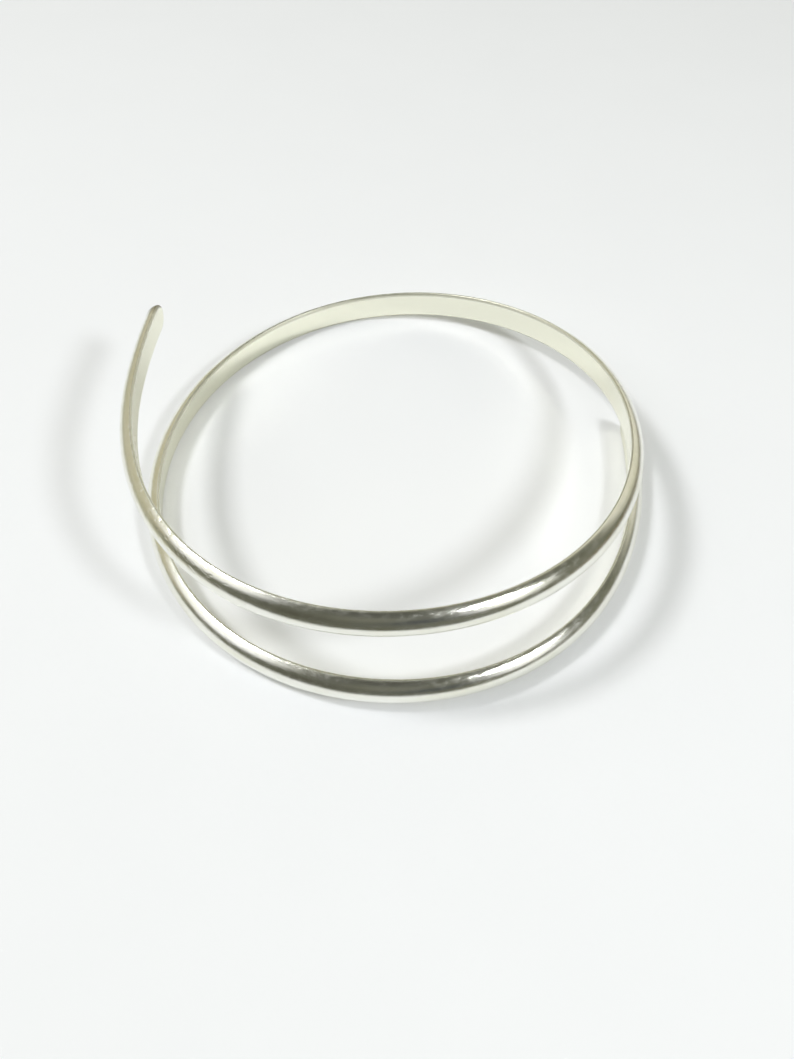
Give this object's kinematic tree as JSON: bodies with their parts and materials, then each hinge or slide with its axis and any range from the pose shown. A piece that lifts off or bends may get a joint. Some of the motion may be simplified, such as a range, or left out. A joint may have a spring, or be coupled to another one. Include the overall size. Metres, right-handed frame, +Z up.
{
  "type": "wire bangle",
  "caption": "Open coiled bangle of one length of half-round wire, flat inside and domed outside, whose rounded ends overlap and spring open.",
  "frame": {"origin": "on the floor under the middle of the coil's footprint, with the coil lying on its lower turn", "axes": "+Z up out of the wrist hollow, +X to the viewer's right in the picture, +Y away from the viewer; the raised end is at -X and +Y"},
  "size_m": [0.0678, 0.0678, 0.0178],
  "materials": {
    "silver_wire": "polished silver, lightly tarnished and finely scratched along the wire"
  },
  "bodies": {
    "root": {"coiled_wire": "silver_wire"}
  },
  "joints": []
}
